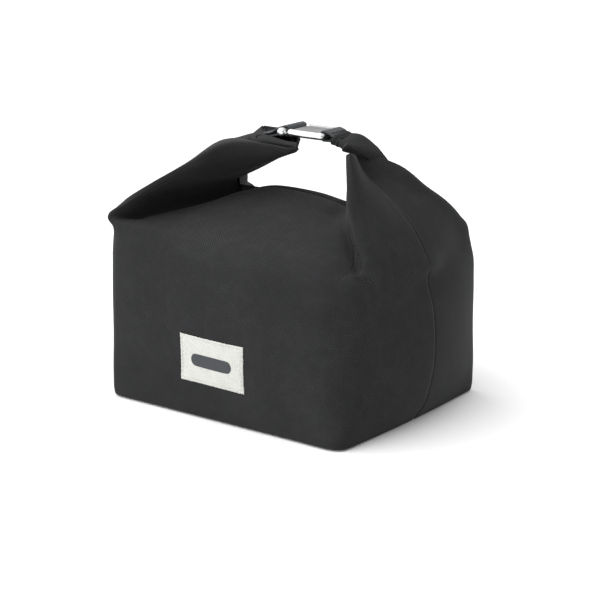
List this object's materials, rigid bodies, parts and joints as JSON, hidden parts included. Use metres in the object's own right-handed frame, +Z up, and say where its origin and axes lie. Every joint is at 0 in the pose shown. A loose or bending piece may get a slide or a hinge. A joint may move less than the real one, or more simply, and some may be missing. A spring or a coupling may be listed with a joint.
{
  "type": "insulated cooler bag",
  "caption": "Soft boxy roll-top insulated bag whose rolled mouth bends up and clips to itself as a carrying handle, with a blank sewn label on the front.",
  "frame": {"origin": "centre of the base, on the surface that the bag stands on", "axes": "+X to the right along the label face, +Y from the label face to the back, +Z up"},
  "size_m": [0.2484, 0.1742, 0.2046],
  "materials": {
    "twill": "matt twill weave with a soft sheen",
    "hem_twill": "folded and stitched twill",
    "webbing": "ribbed webbing",
    "dark_thread": "matt thread",
    "label_canvas": "plain woven canvas",
    "label_thread": "matt thread",
    "badge": "smooth printed badge with no text",
    "steel": "satin polished",
    "foam": "closed-cell foam",
    "liner": "welded grey wipe-clean film"
  },
  "bodies": {
    "bag": {"outer_front": "twill", "outer_back": "twill", "outer_base": "twill", "boxing_seams": "dark_thread", "side_seam_left": "dark_thread", "side_seam_right": "dark_thread", "foam_front": "foam", "foam_back": "foam", "foam_left": "foam", "foam_right": "foam", "foam_base": "foam", "liner_front": "liner", "liner_back": "liner", "liner_base": "liner", "label_patch": "label_canvas", "label_badge": "badge", "label_stitching": "label_thread", "roll_centre": "twill"},
    "left_arm": {"left_gusset_ear": "twill", "left_roll_end": "twill", "left_roll_hem": "hem_twill"},
    "right_arm": {"right_gusset_ear": "twill", "right_roll_end": "twill", "right_roll_hem": "hem_twill"},
    "left_loop": {"left_webbing_loop": "webbing", "left_bartacks": "dark_thread"},
    "right_tab": {"right_webbing_tab": "webbing", "right_bartacks": "dark_thread"},
    "hook": {"clip_hook": "steel"}
  },
  "joints": [
    {"name": "left_arm_open", "type": "hinge", "parent": "bag", "child": "left_arm", "pos_m": [-0.092, 0, 0.146], "axis": [0, -1, 0], "range_deg": [0, 115]},
    {"name": "right_arm_open", "type": "hinge", "parent": "bag", "child": "right_arm", "pos_m": [0.092, 0, 0.146], "axis": [0, 1, 0], "range_deg": [0, 115]},
    {"name": "left_loop_droop", "type": "hinge", "parent": "left_arm", "child": "left_loop", "pos_m": [-0.0118, 0, 0.1985], "axis": [0, -1, 0], "range_deg": [0, 51.75]},
    {"name": "right_tab_droop", "type": "hinge", "parent": "right_arm", "child": "right_tab", "pos_m": [0.0458, 0, 0.1985], "axis": [0, 1, 0], "range_deg": [0, 51.75]},
    {"name": "hook_swing", "type": "hinge", "parent": "right_tab", "child": "hook", "pos_m": [0.034, 0, 0.1985], "axis": [0, 1, 0], "range_deg": [0, 57.5]}
  ],
  "couplings": [
    {"joint": "right_arm_open", "follows": "left_arm_open", "ratio": 1},
    {"joint": "left_loop_droop", "follows": "left_arm_open", "ratio": 0.45},
    {"joint": "right_tab_droop", "follows": "left_arm_open", "ratio": 0.45},
    {"joint": "hook_swing", "follows": "left_arm_open", "ratio": 0.5}
  ]
}
